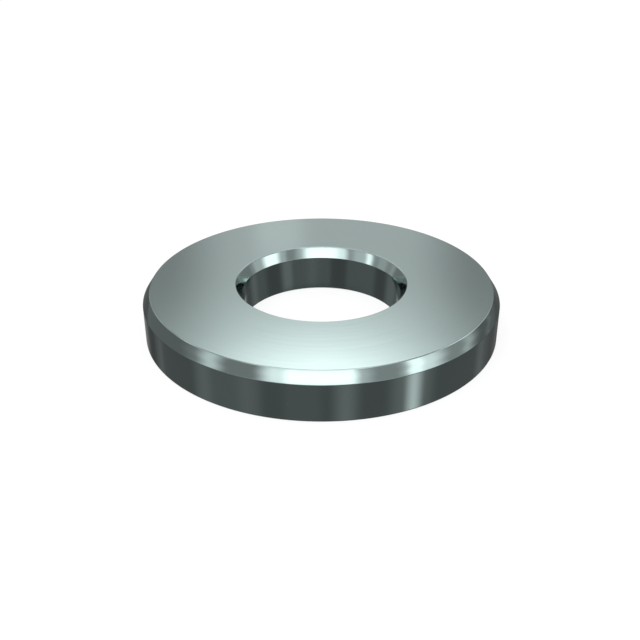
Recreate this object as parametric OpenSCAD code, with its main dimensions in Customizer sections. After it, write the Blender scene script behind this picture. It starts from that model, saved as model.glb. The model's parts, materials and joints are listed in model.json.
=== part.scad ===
// Thick flat washer with a chamfered rim and a chamfered bore.
// It is one turned piece, so its section is drawn once and revolved about the bore's axis.
// The origin is the centre of the underside, and +Z points out of the chamfered face.

/* [Body] */
// Outside diameter
outer_d = 30; // [26:1:60]
// Diameter of the bore, a clearance hole for a 12 mm screw
bore_d = 13.5; // [8:0.5:18]
// Thickness over both faces
thickness = 4; // [3:0.5:10]

/* [Chamfers] */
// Width of the rim's chamfer, seen from above
rim_chamfer_w = 0.6; // [0.3:0.1:1.2]
// Depth of the rim's chamfer, down the rim
rim_chamfer_h = 0.9; // [0.3:0.1:1.5]
// Width of the bore's chamfer, seen from above
bore_chamfer_w = 0.5; // [0.3:0.1:1.2]
// Depth of the bore's chamfer, down the bore
bore_chamfer_h = 0.9; // [0.3:0.1:1.5]

/* [Edges] */
// Radius left by deburring on the edges of both chamfers
chamfer_edge_r = 0.1; // [0.05:0.05:0.2]
// Radius left by deburring on the two edges of the underside
under_edge_r = 0.1; // [0.05:0.05:0.5]

/* [Hidden] */
outer_r = outer_d / 2;
bore_r = bore_d / 2;
rim_top = thickness - rim_chamfer_h;
bore_top = thickness - bore_chamfer_h;
// Straight steps in each rounded edge
edge_steps = 6;
$fn = 180;

// The section's corners, anticlockwise from the foot of the bore: [radius, height, edge radius]
SECTION = [
    [bore_r, 0, under_edge_r],
    [outer_r, 0, under_edge_r],
    [outer_r, rim_top, chamfer_edge_r],
    [outer_r - rim_chamfer_w, thickness, chamfer_edge_r],
    [bore_r + bore_chamfer_w, thickness, chamfer_edge_r],
    [bore_r, bore_top, chamfer_edge_r],
];

function flat_point(corner) = [corner[0], corner[1]];

function unit(v) = v / norm(v);

// Points of the arc of radius r that touches both sides of an outward corner
function edge_arc(before, corner, after, r) =
    let (
        to_before = unit(before - corner),
        to_after = unit(after - corner),
        half_angle = acos(to_before * to_after) / 2,
        centre = corner + unit(to_before + to_after) * r / sin(half_angle),
        first = corner + to_before * r / tan(half_angle) - centre,
        start = atan2(first[1], first[0]),
        turn = 180 - 2 * half_angle
    )
    [for (i = [0 : edge_steps])
        let (a = start + turn * i / edge_steps)
        centre + r * [cos(a), sin(a)]
    ];

// The outline of a section whose corners are all outward, with each corner rounded to its own radius
function rounded(section) =
    let (n = len(section))
    [for (i = [0 : n - 1], p = edge_arc(
            flat_point(section[(i + n - 1) % n]),
            flat_point(section[i]),
            flat_point(section[(i + 1) % n]),
            section[i][2]
        )) p
    ];

module washer() {
    color([0.62, 0.70, 0.69])
        rotate_extrude()
            polygon(rounded(SECTION));
}

washer();
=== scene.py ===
import json
from math import asin, atan, atan2, cos, degrees, pi, radians, sin, sqrt, tan

import bmesh
import bpy
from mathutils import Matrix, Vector


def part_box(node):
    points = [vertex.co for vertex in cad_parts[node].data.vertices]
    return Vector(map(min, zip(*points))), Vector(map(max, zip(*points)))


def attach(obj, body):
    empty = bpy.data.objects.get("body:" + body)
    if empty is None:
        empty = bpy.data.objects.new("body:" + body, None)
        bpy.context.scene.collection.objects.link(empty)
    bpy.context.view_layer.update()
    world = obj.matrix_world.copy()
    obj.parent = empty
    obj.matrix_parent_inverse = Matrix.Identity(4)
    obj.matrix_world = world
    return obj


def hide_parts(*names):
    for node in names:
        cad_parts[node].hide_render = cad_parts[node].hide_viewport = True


# A thick steel washer with a chamfered rim and a chamfered bore, turned from one piece.
# The washer, its strip lights and the strips on the floor card are in millimetres. The camera,
# the floor, the lamp, the walls and the softboxes are in metres.
# Angles are written in degrees. An azimuth of 0 is the camera's side, and 90 is to its right.

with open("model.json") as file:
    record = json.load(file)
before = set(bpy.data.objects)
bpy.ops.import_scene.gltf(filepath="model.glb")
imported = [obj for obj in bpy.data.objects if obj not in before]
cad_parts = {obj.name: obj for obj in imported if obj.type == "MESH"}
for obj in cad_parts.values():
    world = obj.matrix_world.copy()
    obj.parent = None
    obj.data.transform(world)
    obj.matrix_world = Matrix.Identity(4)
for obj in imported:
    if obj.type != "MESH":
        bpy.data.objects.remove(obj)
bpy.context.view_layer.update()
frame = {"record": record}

MM = 0.001

# The washer's section: the frame gives its outer sizes and its bore
OUTER_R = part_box("washer")[1].x / MM
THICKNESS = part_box("washer")[1].z / MM
BORE_R = next(m for m in frame["record"]["mounts"] if m["name"] == "bore")["dims"]["r_mm"]
RIM_CHAMFER_W = 0.6
RIM_CHAMFER_H = 0.9
BORE_CHAMFER_W = 0.5
BORE_CHAMFER_H = 0.9
CHAMFER_EDGE_R = 0.1
UNDER_EDGE_R = 0.1
EDGE_STEPS = 6
# The bevel's profile that gives an arc
EDGE_PROFILE = 0.5
TURN_STEPS = 300

# How near to a corner's place its point is found, and how near to each other two points are one
CORNER_REACH = 1e-3
MERGE_REACH = 1e-4
# How near to a chamfer's plane a point counts as on it
CUT_REACH = 1e-6
# Lets the largest face at a point set its normal, where 50 would weigh all faces alike
FLAT_WEIGHT = 100

# The section's corners: radius, height and the radius that rounds the edge
BORE_FOOT = (BORE_R, 0, UNDER_EDGE_R)
RIM_FOOT = (OUTER_R, 0, UNDER_EDGE_R)
RIM_CHAMFER_FOOT = (OUTER_R, THICKNESS - RIM_CHAMFER_H, CHAMFER_EDGE_R)
RIM_CHAMFER_HEAD = (OUTER_R - RIM_CHAMFER_W, THICKNESS, CHAMFER_EDGE_R)
BORE_CHAMFER_HEAD = (BORE_R + BORE_CHAMFER_W, THICKNESS, CHAMFER_EDGE_R)
BORE_CHAMFER_FOOT = (BORE_R, THICKNESS - BORE_CHAMFER_H, CHAMFER_EDGE_R)
SECTION = [
    BORE_FOOT,
    RIM_FOOT,
    RIM_CHAMFER_FOOT,
    RIM_CHAMFER_HEAD,
    BORE_CHAMFER_HEAD,
    BORE_CHAMFER_FOOT,
]

# The steel's colour, and the share by which the haze tints it
STEEL = (0.36, 0.45, 0.437)
TINT = 0.03
# The size of the haze's clouds, and how many finer clouds they hold and how strongly
HAZE_SIZE = 6.0
HAZE_DETAIL = 3.0
HAZE_GRAIN = 0.6
# The pitch of the turned lines, how much they waver along their way round, and how many finer
# lines they hold
LINE_PITCH = 0.5
LINE_WAVER = 1.0
LINE_DETAIL = 1.0
# The fine lines: how many lie in the width of one line, and how many finer ones they hold
FINE_SCALE = 3.1
FINE_DETAIL = 2.0
# The lines follow each other up a surface whose normal rises less than this, and across the others
LINES_UP_RISE = 0.3

# How much the normal rises on a flat face at least, and on an upright wall at most
FLAT_RISE = 0.9999
UPRIGHT_RISE = 0.0001
FLAT_FINISH = 0
EDGE_FINISH = 1
WALL_FINISH = 2
# In that order: name, roughness, how far haze and lines each move it, and the depth of the lines
FINISHES = [
    ("faced steel", 0.12, 0.02, 0.02, 0.0012),
    ("chamfered steel", 0.10, 0.01, 0.01, 0.0006),
    ("turned steel", 0.13, 0.02, 0.02, 0.0008),
]

# The Mix node's sockets for values and for colours, which share their names
VALUE_A = 2
VALUE_B = 3
COLOUR_A = 6
COLOUR_B = 7
MIXED_COLOUR = 2

# The camera, aimed at the middle of the washer's thickness, then set off it as the picture is
PICTURE = 640
FOCAL_PX = 846.5
CAMERA_DISTANCE = 72.85 * MM
CAMERA_ELEVATION = radians(27.1)
SUBJECT_RIGHT_PX = 1.3
SUBJECT_ABOVE_PX = 18.2
SENSOR_MM = 36
NEAREST_SEEN = 0.001
FARTHEST_SEEN = 10

# The world round it all
WORLD_COLOUR = (1, 1, 1, 1)
WORLD_STRENGTH = 1.0

# The floor, how bright its white is, and the share of it that takes no shadow
FLOOR_SIZE = 4.0
FLOOR_DROP = 0.02 * MM
FLOOR_COLOUR = (0.9, 0.9, 0.9, 1)
FLOOR_GLOW = 1.03
UNSHADED_SHARE = 0.8

# The key lamp
LAMP_SIZE = 0.3
LAMP_POWER = 0.8
LAMP_DISTANCE = 0.5
LAMP_AZIMUTH = -35
LAMP_ELEVATION = 60

# The dark walls that the steel mirrors: how bright they are low down and high up, and between
# which heights they get lighter, as shares of their distance
WALL_DISTANCE = 0.7
WALL_SEGMENTS = 48
WALL_RINGS = 24
WALL_LOW = 0.10
WALL_HIGH = 0.50
WALL_LOW_HEIGHT = -0.35
WALL_HIGH_HEIGHT = 0.85

# The dark card on the floor, with a round hole, and the distance within which it is clear
RING_SIDES = 64
RING_GLOW = 0.13
RING_DROP = 0.01 * MM
RING_HOLE = 10 * MM
RING_CLEARS = 0.05 * MM

# How far off the first softbox hangs, and how much nearer each next one is
PANEL_DISTANCE = 0.6
PANEL_STEP = 0.005
# The fades of a soft edge that is given none, as shares of its panel's size
USUAL_FADE = 0.2

# Name, azimuth, elevation, width, height, strength, side fade and end fade, from the farthest in
SOFTBOXES = [
    ("overhead softbox", 0, 90, 90, 90, 1.4, 0.5, 0.5),
    ("overhead front softbox", 0, 66, 34, 40, 2.0, 0.3, 0.15),
    ("front softbox", 0, 22, 50, 44, 1.0, 0.35, 0.45),
    ("front right softbox", 45, 22, 50, 44, 1.15, 0.35, 0.45),
    ("right softbox", 90, 22, 50, 44, 0.95, 0.35, 0.45),
    ("rear right softbox", 134, 22, 44, 44, 0.9, 0.35, 0.45),
    ("rear left softbox", 226, 22, 44, 44, 0.9, 0.35, 0.45),
    ("left softbox", 270, 22, 50, 44, 1.1, 0.35, 0.45),
    ("front left softbox", 315, 22, 50, 44, 1.0, 0.35, 0.45),
    ("front right lamp", 30, 46, 16, 30, 2.6, 0.4, 0.4),
    ("right lamp", 75, 46, 12, 30, 1.1, 0.4, 0.4),
    ("rear right lamp", 120, 46, 16, 30, 0.9, 0.4, 0.4),
    ("rear left lamp", 240, 46, 16, 30, 0.9, 0.4, 0.4),
    ("left lamp", 285, 46, 12, 30, 1.1, 0.4, 0.4),
    ("front left lamp", 330, 46, 16, 30, 2.4, 0.4, 0.4),
    ("backdrop", 180, 17, 24, 26, 0.74, 0.24, 0.05),
    ("backdrop glow", 183.5, 22.5, 5, 8, 1.0, 0.3, 0.5),
    ("rear softbox", 180, 37.5, 32, 23.5, 3.4, 0.5, 0.5),
    ("underside softbox", 0, -90, 90, 90, 0.9, 0.4, 0.4),
    ("low rear softbox", 180, -30, 60, 34, 0.8, 0.35, 0.45),
]

# Strip lights of a small light tent, each placed by where the camera sees it mirrored
CARD_STEPS_ACROSS = 24
CARD_STEPS_UP = 22
CARD_END_FADE = 0.1
# Degrees of a strip light's height that lie between a surface's foot and head
SEEN_RISE = 2

# Name, from and to in millimetres right of the axis, strength and side fade, from the farthest in
RIM_CHAMFER_BASES = [
    ("far left base", -14.8, -9.0, 0.22, 0.03),
    ("far right base", 11.3, 14.8, 0.18, 0.03),
    ("left base", -10.6, 0.5, 0.35, 0.12),
    ("right base", -0.5, 12.2, 0.46, 0.08),
    ("far right patch", 12.6, 13.4, 0.27, 0.5),
]
RIM_CHAMFER_CARDS = [
    ("left", -9.4, -6.7, 1.15, 0.5),
    ("front left", -4.92, -1.5, 1.85, 0.47),
    ("front right shoulder", 1.5, 4.1, 0.9, 0.45),
    ("front", -3.1, 2.95, 2.75, 0.15),
    ("right", 5.28, 9.6, 1.6, 0.42),
    ("right streak", 5.95, 7.65, 2.35, 0.37),
    ("far right", 10.3, 11.62, 0.75, 0.5),
]
BORE_CHAMFER_BASES = [
    ("base", -6.4, 6.4, 0.45, 0.02),
    ("left end", -7.2, -6.1, 0.34, 0.05),
    ("right end", 6.3, 7.2, 0.31, 0.05),
    ("left shoulder", -6.15, -3.1, 0.81, 0.1),
    ("front left shoulder", -2.7, -1.0, 0.85, 0.45),
    ("right shoulder", 2.4, 5.12, 0.93, 0.35),
    ("far right", 4.95, 6.0, 0.64, 0.35),
    ("far right edge", 6.05, 6.55, 0.58, 0.5),
]
BORE_CHAMFER_CARDS = [
    ("left", -5.45, -3.65, 2.5, 0.32),
    ("front right", 0.5, 2.76, 1.92, 0.33),
    ("front", -2.0, 1.9, 2.75, 0.235),
    ("right streak", 3.96, 4.8, 2.3, 0.45),
]

# The bore's wall mirrors its strip lights through the hole in the ring card
BORE_WALL_CARDS = [
    ("far left", -6.5, -4.7, 0.155, 0.3),
    ("far left streak", -6.35, -5.6, 0.22, 0.5),
    ("left", -3.95, -2.3, 0.26, 0.4),
    ("middle", -2.8, 1.1, 0.165, 0.12),
    ("middle streak", -1.7, 0.0, 0.2, 0.5),
    ("right", 2.1, 5.1, 0.165, 0.15),
    ("far right", 5.6, 6.7, 0.2, 0.4),
]

# The bands on the rim's wall come from strips on the ring card, each a little above the last, in the
# same terms. They and the spokes reach this far out from the rim.
STRIP_REACH = 12
STRIP_END_FADE = 0.02
RIM_STRIPS = [
    ("left end", -13.9, -12.8, 0.08, 0.4),
    ("left edge", -14.9, -13.8, 0.24, 0.35),
    ("far left", -12.9, -11.95, 0.18, 0.5),
    ("left", -9.8, -3.8, 0.175, 0.15),
    ("left of it", -9.6, -7.6, 0.225, 0.5),
    ("right of it", -6.5, -4.2, 0.21, 0.5),
    ("front", -3.2, 0.6, 0.16, 0.3),
    ("middle", 0.3, 3.2, 0.26, 0.5),
    ("right", 4.3, 8.8, 0.24, 0.35),
    ("streak", 5.79, 7.59, 0.95, 0.5),
    ("far right", 11.6, 12.9, 0.2, 0.5),
    ("right end", 12.9, 14.0, 0.1, 0.4),
]
# Strips that lie like spokes behind and beside the washer: azimuth, width in degrees and strength
SPOKE_SIDE_FADE = 0.5
SPOKES = [
    (98, 7, 0.2),
    (119, 12, 0.17),
    (138, 5, 0.6),
    (152, 16, 0.18),
    (176, 9, 0.26),
    (199, 13, 0.17),
    (216, 5, 0.8),
    (229, 10, 0.22),
    (249, 12, 0.16),
    (264, 6, 0.3),
]

# The surfaces that the camera sees: the section's corners at foot and head, and the side of the axis
NEAR_SIDE = -1
FAR_SIDE = 1
RIM_WALL = (RIM_FOOT, RIM_CHAMFER_FOOT, NEAR_SIDE)
RIM_CHAMFER = (RIM_CHAMFER_FOOT, RIM_CHAMFER_HEAD, NEAR_SIDE)
BORE_CHAMFER = (BORE_CHAMFER_FOOT, BORE_CHAMFER_HEAD, FAR_SIDE)
BORE_WALL = (BORE_FOOT, BORE_CHAMFER_FOOT, FAR_SIDE)

# Name, surface, how far off its strip lights are and how much nearer each next one is, both in
# millimetres, the degrees that they go below and above what the camera sees, their lean, and the lights.
# The bright lights of the chamfers go less far down and up than the dim ones under them, so that the
# upper face mirrors little of them when it is seen from behind.
CARD_SETS = [
    ("rim chamfer", RIM_CHAMFER, 45, 0.3, 12, 14, 0, RIM_CHAMFER_BASES),
    ("rim chamfer", RIM_CHAMFER, 43.5, 0.3, 5, 7, 0, RIM_CHAMFER_CARDS),
    ("bore chamfer", BORE_CHAMFER, 45, 0.3, 9, 8, 1, BORE_CHAMFER_BASES),
    ("bore chamfer", BORE_CHAMFER, 42.6, 0.3, 6.5, 7, 1, BORE_CHAMFER_CARDS),
    ("bore wall", BORE_WALL, 450, 4, 7.5, 7.5, 0, BORE_WALL_CARDS),
]


def clear_selection():
    """Deselects everything, because an operator acts on all that is selected."""
    for thing in bpy.context.selected_objects:
        thing.select_set(False)


def select_points(piece, test):
    """In edit mode, selects the points whose place passes the test, and no others."""
    shape = bmesh.from_edit_mesh(piece.data)
    for point in shape.verts:
        point.select_set(test(point.co))
    shape.select_flush_mode()
    bmesh.update_edit_mesh(piece.data)


def edge_reach(before, corner, after, radius):
    """How far along its sides a rounded corner starts."""
    to_before = (Vector(before[:2]) - Vector(corner[:2])).normalized()
    to_after = (Vector(after[:2]) - Vector(corner[:2])).normalized()
    return radius / tan(to_before.angle(to_after) / 2)


def cut_chamfer(point, outward):
    """Cuts off what lies outside a plane through a point of the section."""
    bpy.ops.mesh.select_all(action="SELECT")
    bpy.ops.mesh.bisect(
        plane_co=(point[0], 0, point[1]),
        plane_no=(outward[0], 0, outward[1]),
        clear_outer=True,
        threshold=CUT_REACH,
    )


def round_corners(piece):
    """Rounds each corner of the section to its own radius."""
    count = len(SECTION)
    for i, corner in enumerate(SECTION):
        before = SECTION[i - 1]
        after = SECTION[(i + 1) % count]
        place = Vector((corner[0], 0, corner[1]))
        select_points(piece, lambda co: (co - place).length < CORNER_REACH)
        bpy.ops.mesh.bevel(
            affect="VERTICES",
            offset_type="OFFSET",
            offset=edge_reach(before, corner, after, corner[2]),
            segments=EDGE_STEPS,
            profile=EDGE_PROFILE,
            clamp_overlap=False,
        )


def turn_washer():
    """Draws the section, turns it round the bore's axis and brings it to size.

    It is drawn with a millimetre as Blender's metre, where no edge is too short for the operators.
    """
    clear_selection()
    bpy.ops.mesh.primitive_plane_add(
        size=1,
        location=((BORE_R + OUTER_R) / 2, 0, THICKNESS / 2),
        rotation=(pi / 2, 0, 0),
    )
    piece = bpy.context.object
    piece.name = "turned_washer"
    piece.scale = (OUTER_R - BORE_R, THICKNESS, 1)
    bpy.ops.object.transform_apply(location=True, rotation=True, scale=True)
    bpy.ops.object.mode_set(mode="EDIT")
    bpy.ops.mesh.select_mode(type="VERT")
    cut_chamfer(RIM_CHAMFER_FOOT, (RIM_CHAMFER_H, RIM_CHAMFER_W))
    cut_chamfer(BORE_CHAMFER_FOOT, (-BORE_CHAMFER_H, BORE_CHAMFER_W))
    round_corners(piece)
    bpy.ops.mesh.select_all(action="SELECT")
    bpy.ops.mesh.delete(type="ONLY_FACE")
    bpy.ops.mesh.select_all(action="SELECT")
    bpy.ops.mesh.spin(steps=TURN_STEPS, angle=2 * pi, center=(0, 0, 0), axis=(0, 0, 1))
    bpy.ops.mesh.select_all(action="SELECT")
    bpy.ops.mesh.remove_doubles(threshold=MERGE_REACH)
    bpy.ops.mesh.normals_make_consistent(inside=False)
    bpy.ops.object.mode_set(mode="OBJECT")
    piece.scale = (MM, MM, MM)
    bpy.ops.object.transform_apply(location=False, rotation=False, scale=True)
    bpy.ops.object.shade_smooth()
    flat = piece.modifiers.new("flat faces stay flat", "WEIGHTED_NORMAL")
    flat.mode = "FACE_AREA"
    flat.weight = FLAT_WEIGHT
    bpy.ops.object.modifier_apply(modifier=flat.name)
    return piece


def node(tree, kind, inputs=None, **options):
    """Adds a shader node. Each input is given as a value, or as a socket to link."""
    made = tree.nodes.new(kind)
    for name, value in options.items():
        setattr(made, name, value)
    for key, value in (inputs or {}).items():
        if isinstance(value, bpy.types.NodeSocket):
            tree.links.new(value, made.inputs[key])
        else:
            made.inputs[key].default_value = value
    return made


def calculate(tree, operation, first, second=0.0, third=0.0):
    """Works out one value from up to three others."""
    made = node(tree, "ShaderNodeMath", {0: first, 1: second, 2: third}, operation=operation)
    return made.outputs[0]


def spread(tree, value, low, high):
    """Stretches a value from 0 to 1 over low to high."""
    made = node(tree, "ShaderNodeMapRange", {"Value": value, "To Min": low, "To Max": high})
    return made.outputs["Result"]


def ramp(tree, value, start, stop, low=0.0, high=1.0):
    """Runs softly from low to high while the value goes from start to stop."""
    made = node(
        tree,
        "ShaderNodeMapRange",
        {"Value": value, "From Min": start, "From Max": stop, "To Min": low, "To Max": high},
        interpolation_type="SMOOTHSTEP",
    )
    return made.outputs["Result"]


def new_group(name, inputs, outputs):
    """An empty shader node group, with its tree, its input sockets and its output node."""
    tree = bpy.data.node_groups.new(name, "ShaderNodeTree")
    for socket, value in inputs.items():
        made = tree.interface.new_socket(socket, in_out="INPUT", socket_type="NodeSocketFloat")
        made.default_value = value
    for socket in outputs:
        tree.interface.new_socket(socket, in_out="OUTPUT", socket_type="NodeSocketFloat")
    start = tree.nodes.new("NodeGroupInput")
    end = tree.nodes.new("NodeGroupOutput")
    return tree, start.outputs, end


def millimetres(tree):
    """The place on the piece, in millimetres, as a vector and as x, y and z."""
    place = node(tree, "ShaderNodeTexCoord").outputs["Object"]
    scaled = node(tree, "ShaderNodeVectorMath", {0: place, "Scale": 1 / MM}, operation="SCALE")
    return scaled.outputs[0], node(tree, "ShaderNodeSeparateXYZ", {0: scaled.outputs[0]}).outputs


def make_turned_lay():
    """Lines that a tool leaves as it runs round the axis, one after the other across or up a surface."""
    tree, given, end = new_group(
        "turned lay", {"Pitch": LINE_PITCH, "Waver": LINE_WAVER}, ["Lines", "Fine lines"]
    )
    _, place = millimetres(tree)
    flat = node(tree, "ShaderNodeCombineXYZ", {0: place[0], 1: place[1]}).outputs[0]
    radius = node(tree, "ShaderNodeVectorMath", {0: flat}, operation="LENGTH").outputs["Value"]
    around = node(tree, "ShaderNodeVectorMath", {0: flat}, operation="NORMALIZE").outputs[0]
    around = node(
        tree, "ShaderNodeVectorMath", {0: around, "Scale": given["Waver"]}, operation="SCALE"
    ).outputs[0]
    turned = node(tree, "ShaderNodeSeparateXYZ", {0: around}).outputs
    normal = node(tree, "ShaderNodeNewGeometry").outputs["Normal"]
    rise = calculate(tree, "ABSOLUTE", node(tree, "ShaderNodeSeparateXYZ", {0: normal}).outputs[2])
    on_wall = calculate(tree, "LESS_THAN", rise, LINES_UP_RISE)
    across = node(
        tree,
        "ShaderNodeMix",
        {"Factor": on_wall, VALUE_A: radius, VALUE_B: place[2]},
        data_type="FLOAT",
    ).outputs[0]
    step = calculate(tree, "DIVIDE", across, given["Pitch"])
    spot = node(tree, "ShaderNodeCombineXYZ", {0: step, 1: turned[0], 2: turned[1]}).outputs[0]
    lines = node(tree, "ShaderNodeTexNoise", {"Vector": spot, "Scale": 1.0, "Detail": LINE_DETAIL})
    fine = node(
        tree, "ShaderNodeTexNoise", {"Vector": spot, "Scale": FINE_SCALE, "Detail": FINE_DETAIL}
    )
    tree.links.new(lines.outputs[0], end.inputs["Lines"])
    tree.links.new(fine.outputs[0], end.inputs["Fine lines"])
    return tree


def make_handling_haze():
    """Soft clouds of a slightly duller surface, as clean steel has from being handled."""
    tree, given, end = new_group("handling haze", {"Size": HAZE_SIZE}, ["Haze"])
    place, _ = millimetres(tree)
    scale = calculate(tree, "DIVIDE", 1.0, given["Size"])
    haze = node(
        tree,
        "ShaderNodeTexNoise",
        {"Vector": place, "Scale": scale, "Detail": HAZE_DETAIL, "Roughness": HAZE_GRAIN},
    )
    tree.links.new(haze.outputs[0], end.inputs["Haze"])
    return tree


def make_steel(lay, haze, name, roughness, haze_roughness, line_roughness, depth):
    """Bare steel. Depth is how deep the lines are, in millimetres, and the roughness moves with them."""
    material = bpy.data.materials.new(name)
    material.use_nodes = True
    tree = material.node_tree
    steel = tree.nodes["Principled BSDF"]
    steel.inputs["Metallic"].default_value = 1.0
    lines = node(tree, "ShaderNodeGroup", node_tree=lay).outputs
    cloud = node(tree, "ShaderNodeGroup", node_tree=haze).outputs["Haze"]
    light_steel = [c * (1 + TINT) for c in STEEL] + [1]
    dark_steel = [c * (1 - TINT) for c in STEEL] + [1]
    tint = node(
        tree,
        "ShaderNodeMix",
        {"Factor": cloud, COLOUR_A: light_steel, COLOUR_B: dark_steel},
        data_type="RGBA",
    )
    tree.links.new(tint.outputs[MIXED_COLOUR], steel.inputs["Base Color"])
    dull = spread(tree, cloud, roughness - haze_roughness, roughness + haze_roughness)
    scored = spread(tree, lines["Fine lines"], -line_roughness, line_roughness)
    tree.links.new(calculate(tree, "ADD", dull, scored), steel.inputs["Roughness"])
    bump = node(tree, "ShaderNodeBump", {"Height": lines["Lines"], "Distance": depth * MM})
    tree.links.new(bump.outputs[0], steel.inputs["Normal"])
    return material


def finish_washer(piece):
    """Gives the flat faces, the rounded and chamfered edges and the upright walls their own finish."""
    lay = make_turned_lay()
    haze = make_handling_haze()
    for finish in FINISHES:
        piece.data.materials.append(make_steel(lay, haze, *finish))
    for face in piece.data.polygons:
        rise = abs(face.normal.z)
        if rise > FLAT_RISE:
            face.material_index = FLAT_FINISH
        elif rise < UPRIGHT_RISE:
            face.material_index = WALL_FINISH
        else:
            face.material_index = EDGE_FINISH


def direction(azimuth, elevation):
    """The way from the washer to something that stands at these angles."""
    around = radians(azimuth)
    up = radians(elevation)
    return Vector((sin(around) * cos(up), -cos(around) * cos(up), sin(up)))


def only_in_reflections(thing):
    """Hides a thing from all but what mirrors it."""
    thing.visible_camera = False
    thing.visible_diffuse = False
    thing.visible_transmission = False
    thing.visible_volume_scatter = False
    thing.visible_shadow = False


def stage_material(name):
    """An empty material for a stage piece, which lights nothing but what mirrors it."""
    material = bpy.data.materials.new(name)
    material.use_nodes = True
    material.cycles.emission_sampling = "NONE"
    material.node_tree.nodes.clear()
    return material, material.node_tree


def glow_through(tree, mask, strength):
    """Ends a stage material with a glow where the mask is 1, and nothing where it is 0."""
    clear = node(tree, "ShaderNodeBsdfTransparent").outputs[0]
    glow = node(tree, "ShaderNodeEmission", {"Strength": strength}).outputs[0]
    mixed = node(tree, "ShaderNodeMixShader", {0: mask, 1: clear, 2: glow}).outputs[0]
    node(tree, "ShaderNodeOutputMaterial", {"Surface": mixed})


def make_soft_edge():
    """A mask that is 1 over a panel and fades to 0 at its sides and ends, as shares of its size."""
    tree, given, end = new_group(
        "soft edge", {"Side fade": USUAL_FADE, "End fade": USUAL_FADE}, ["Mask"]
    )
    spot = node(tree, "ShaderNodeSeparateXYZ", {0: node(tree, "ShaderNodeTexCoord").outputs["UV"]})
    masks = []
    for axis, fade in ((0, "Side fade"), (1, "End fade")):
        along = spot.outputs[axis]
        nearest = calculate(tree, "MINIMUM", along, calculate(tree, "SUBTRACT", 1.0, along))
        masks.append(ramp(tree, nearest, 0.0, given[fade]))
    tree.links.new(calculate(tree, "MULTIPLY", *masks), end.inputs["Mask"])
    return tree


def panel_light(name, soft_edge, strength, side_fade, end_fade):
    """The glow of a softbox or a strip light, which fades to nothing at its edges."""
    material, tree = stage_material(name)
    mask = node(tree, "ShaderNodeGroup", {0: side_fade, 1: end_fade}, node_tree=soft_edge)
    glow_through(tree, mask.outputs["Mask"], strength)
    return material


def hang_softbox(soft_edge, distance, name, azimuth, elevation, width, height, *light):
    """A softbox that only the steel's reflections see. Its width and height are angles."""
    clear_selection()
    bpy.ops.mesh.primitive_plane_add(size=1)
    panel = bpy.context.object
    panel.name = name
    facing = direction(azimuth, elevation)
    panel.rotation_euler = (-facing).to_track_quat("Z", "Y").to_euler()
    panel.location = facing * distance
    panel.scale = (2 * distance * tan(radians(width / 2)), 2 * distance * tan(radians(height / 2)), 1)
    panel.data.materials.append(panel_light(name, soft_edge, *light))
    only_in_reflections(panel)


def spot_on(corner, side, right):
    """The point of a surface at a corner of the section, that far to the right of the axis."""
    right = min(max(right, -corner[0]), corner[0])
    return Vector((right, side * sqrt(corner[0] ** 2 - right ** 2), corner[1]))


def normal_at(surface, spot):
    """The way that a surface faces at a spot on it, towards the air."""
    foot, head, side = surface
    outward = -side * Vector((head[1] - foot[1], foot[0] - head[0]))
    normal = Vector((spot.x, spot.y, 0)).normalized() * outward.x
    normal.z = outward.y
    return normal.normalized()


def mirrored(spot, normal):
    """The way that the camera's view of a spot goes on when the steel mirrors it."""
    view = (spot - camera_place() / MM).normalized()
    return view - 2 * view.dot(normal) * normal


def shape_card(name, light, place):
    """A card that is bent point by point: place gives a point for its shares across and up."""
    clear_selection()
    bpy.ops.mesh.primitive_grid_add(
        size=1, x_subdivisions=CARD_STEPS_ACROSS, y_subdivisions=CARD_STEPS_UP
    )
    card = bpy.context.object
    card.name = name
    for point in card.data.vertices:
        point.co = place(point.co.x + 0.5, point.co.y + 0.5) * MM
    card.data.materials.append(light)
    only_in_reflections(card)


def hang_card(name, soft_edge, surface, reach, below, above, lean, start, stop, strength, side_fade):
    """A strip light that the camera sees mirrored in a surface, between two places right of the axis.

    Its middle follows what is mirrored from the surface's foot to its head, and it goes on from
    there, straight down and straight up. With a lean of 0 it shows upright in the picture, and
    with a lean of 1 it points to the axis.
    """
    foot, head, side = surface

    def place(across, up):
        rise = (below + SEEN_RISE + above) * up - below
        share = min(max(rise / SEEN_RISE, 0), 1)
        corner = [low + (high - low) * share for low, high in zip(foot, head)]
        right = start + (stop - start) * across
        right *= (2 * corner[0] / (foot[0] + head[0])) ** lean
        spot = spot_on(corner, side, right)
        onward = mirrored(spot, normal_at(surface, spot))
        azimuth = degrees(atan2(onward.x, -onward.y))
        elevation = degrees(asin(onward.z)) + rise - share * SEEN_RISE
        return spot + direction(azimuth, elevation) * reach

    shape_card(name, panel_light(name, soft_edge, strength, side_fade, CARD_END_FADE), place)


def lay_strip(name, soft_edge, height, start, stop, strength, side_fade):
    """A strip on the ring card that shows as an upright band on the rim's wall."""

    def place(across, up):
        spot = spot_on(RIM_WALL[0], RIM_WALL[2], start + (stop - start) * across)
        onward = mirrored(spot, normal_at(RIM_WALL, spot))
        onward.z = 0
        spot.z = height
        return spot + onward.normalized() * STRIP_REACH * up

    shape_card(name, panel_light(name, soft_edge, strength, side_fade, STRIP_END_FADE), place)


def lay_spoke(name, soft_edge, height, azimuth, width, strength):
    """A strip on the ring card that points away from the axis."""

    def place(across, up):
        spot = direction(azimuth + width * (across - 0.5), 0) * (OUTER_R + STRIP_REACH * up)
        spot.z = height
        return spot

    light = panel_light(name, soft_edge, strength, SPOKE_SIDE_FADE, STRIP_END_FADE)
    shape_card(name, light, place)


def camera_place():
    """The camera's place in metres, straight out from the washer's middle."""
    return Vector((0, 0, THICKNESS * MM / 2)) + CAMERA_DISTANCE * Vector(
        (0, -cos(CAMERA_ELEVATION), sin(CAMERA_ELEVATION))
    )


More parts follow.
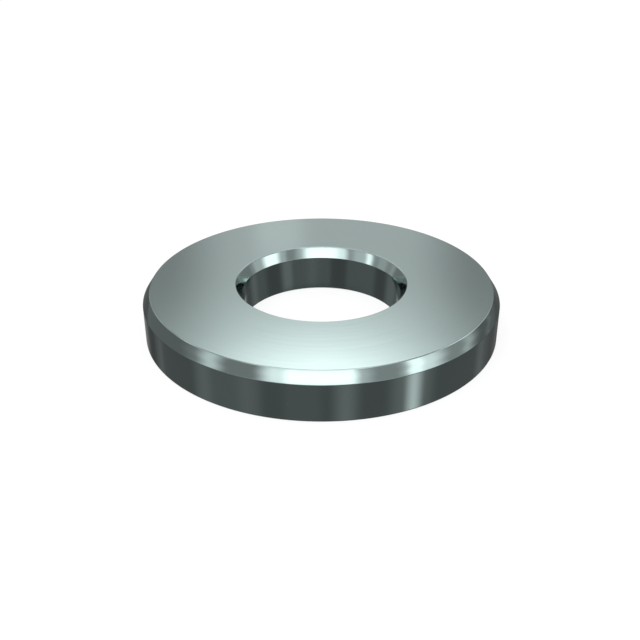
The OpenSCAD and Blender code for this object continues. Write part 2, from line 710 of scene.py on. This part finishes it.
def place_camera():
    """Aims the camera at the washer's middle, and then a little past it, down and to the left."""
    camera = bpy.data.cameras.new("camera")
    camera.sensor_width = SENSOR_MM
    camera.lens = SENSOR_MM * FOCAL_PX / PICTURE
    camera.clip_start = NEAREST_SEEN
    camera.clip_end = FARTHEST_SEEN
    eye = bpy.data.objects.new("camera", camera)
    bpy.context.scene.collection.objects.link(eye)
    eye.location = camera_place()
    down = CAMERA_ELEVATION + atan(SUBJECT_ABOVE_PX / FOCAL_PX)
    left = atan(SUBJECT_RIGHT_PX / FOCAL_PX) / cos(down)
    eye.rotation_euler = (pi / 2 - down, 0, left)
    bpy.context.scene.camera = eye


def lay_floor():
    """White to the camera, with a share of real light so that the washer's shadow shows.

    The steel's reflections pass through it, because the steel in the picture mirrors a dark room,
    and a view from below passes through it too.
    """
    clear_selection()
    bpy.ops.mesh.primitive_plane_add(size=FLOOR_SIZE, location=(0, 0, -FLOOR_DROP))
    floor = bpy.context.object
    floor.name = "floor"
    floor.visible_glossy = False
    material, tree = stage_material("white floor")
    rays = node(tree, "ShaderNodeLightPath").outputs
    white = calculate(
        tree, "MULTIPLY_ADD", rays["Is Camera Ray"], UNSHADED_SHARE, rays["Is Transmission Ray"]
    )
    paper = node(tree, "ShaderNodeBsdfDiffuse", {"Color": FLOOR_COLOUR}).outputs[0]
    glow = node(tree, "ShaderNodeEmission", {"Strength": FLOOR_GLOW}).outputs[0]
    top = node(tree, "ShaderNodeMixShader", {0: white, 1: paper, 2: glow}).outputs[0]
    clear = node(tree, "ShaderNodeBsdfTransparent").outputs[0]
    from_below = node(tree, "ShaderNodeNewGeometry").outputs["Backfacing"]
    mixed = node(tree, "ShaderNodeMixShader", {0: from_below, 1: top, 2: clear}).outputs[0]
    node(tree, "ShaderNodeOutputMaterial", {"Surface": mixed})
    floor.data.materials.append(material)


def light_room():
    """A white world, and one soft lamp high on the left that gives the shadow its side."""
    scene = bpy.context.scene
    scene.world = bpy.data.worlds.new("white room")
    scene.world.use_nodes = True
    room = scene.world.node_tree.nodes["Background"]
    room.inputs["Color"].default_value = WORLD_COLOUR
    room.inputs["Strength"].default_value = WORLD_STRENGTH
    lamp = bpy.data.lights.new("key lamp", "AREA")
    lamp.shape = "DISK"
    lamp.size = LAMP_SIZE
    lamp.energy = LAMP_POWER
    key = bpy.data.objects.new("key lamp", lamp)
    scene.collection.objects.link(key)
    aim = direction(LAMP_AZIMUTH, LAMP_ELEVATION)
    key.location = aim * LAMP_DISTANCE
    key.rotation_euler = aim.to_track_quat("Z", "Y").to_euler()
    key.visible_glossy = False


def raise_walls():
    """Dark walls all round, a little lighter overhead, which only reflections see."""
    clear_selection()
    bpy.ops.mesh.primitive_uv_sphere_add(
        segments=WALL_SEGMENTS, ring_count=WALL_RINGS, radius=WALL_DISTANCE
    )
    walls = bpy.context.object
    walls.name = "studio walls"
    material, tree = stage_material("studio walls")
    place = node(tree, "ShaderNodeTexCoord").outputs["Object"]
    upright = node(tree, "ShaderNodeVectorMath", {0: place}, operation="NORMALIZE").outputs[0]
    height = node(tree, "ShaderNodeSeparateXYZ", {0: upright}).outputs[2]
    glow = ramp(tree, height, WALL_LOW_HEIGHT, WALL_HIGH_HEIGHT, WALL_LOW, WALL_HIGH)
    glow_through(tree, 1.0, glow)
    walls.data.materials.append(material)
    only_in_reflections(walls)


def lay_ring_card():
    """A dark card on the floor round the washer. Its hole lets the bore mirror the room below.

    It clears for reflections that start right above it, so that the underside mirrors the room too.
    """
    clear_selection()
    bpy.ops.mesh.primitive_circle_add(
        vertices=RING_SIDES,
        radius=WALL_DISTANCE,
        fill_type="NOTHING",
        location=(0, 0, -RING_DROP),
    )
    card = bpy.context.object
    card.name = "dark floor card"
    bpy.ops.object.mode_set(mode="EDIT")
    bpy.ops.mesh.select_all(action="SELECT")
    bpy.ops.mesh.extrude_edges_move()
    share = RING_HOLE / WALL_DISTANCE
    bpy.ops.transform.resize(value=(share, share, 1), center_override=(0, 0, -RING_DROP))
    bpy.ops.object.mode_set(mode="OBJECT")
    material, tree = stage_material("dark floor card")
    seen_from = node(tree, "ShaderNodeLightPath").outputs["Ray Length"]
    glow_through(tree, calculate(tree, "GREATER_THAN", seen_from, RING_CLEARS), RING_GLOW)
    card.data.materials.append(material)
    only_in_reflections(card)


def hang_softboxes(soft_edge):
    for i, softbox in enumerate(SOFTBOXES):
        hang_softbox(soft_edge, PANEL_DISTANCE - PANEL_STEP * i, *softbox)


def hang_strip_lights(soft_edge):
    for kind, surface, reach, step, below, above, lean, cards in CARD_SETS:
        for i, card in enumerate(cards):
            name = "%s %s" % (kind, card[0])
            hang_card(name, soft_edge, surface, reach - step * i, below, above, lean, *card[1:])


def lay_strips(soft_edge):
    """Lays the strips on the ring card, each a little above the last and all below the washer."""
    rise = RING_DROP / MM / (len(RIM_STRIPS) + len(SPOKES) + 1)
    height = -RING_DROP / MM
    for strip in RIM_STRIPS:
        height += rise
        lay_strip("rim " + strip[0], soft_edge, height, *strip[1:])
    for i, spoke in enumerate(SPOKES):
        height += rise
        lay_spoke("spoke %d" % i, soft_edge, height, *spoke)


place_camera()
washer = turn_washer()
finish_washer(washer)
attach(washer, "root")
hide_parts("washer")
lay_floor()
light_room()

panel_edge = make_soft_edge()
raise_walls()
lay_ring_card()
hang_softboxes(panel_edge)
hang_strip_lights(panel_edge)
lay_strips(panel_edge)
bpy.context.scene.view_settings.view_transform = "Standard"
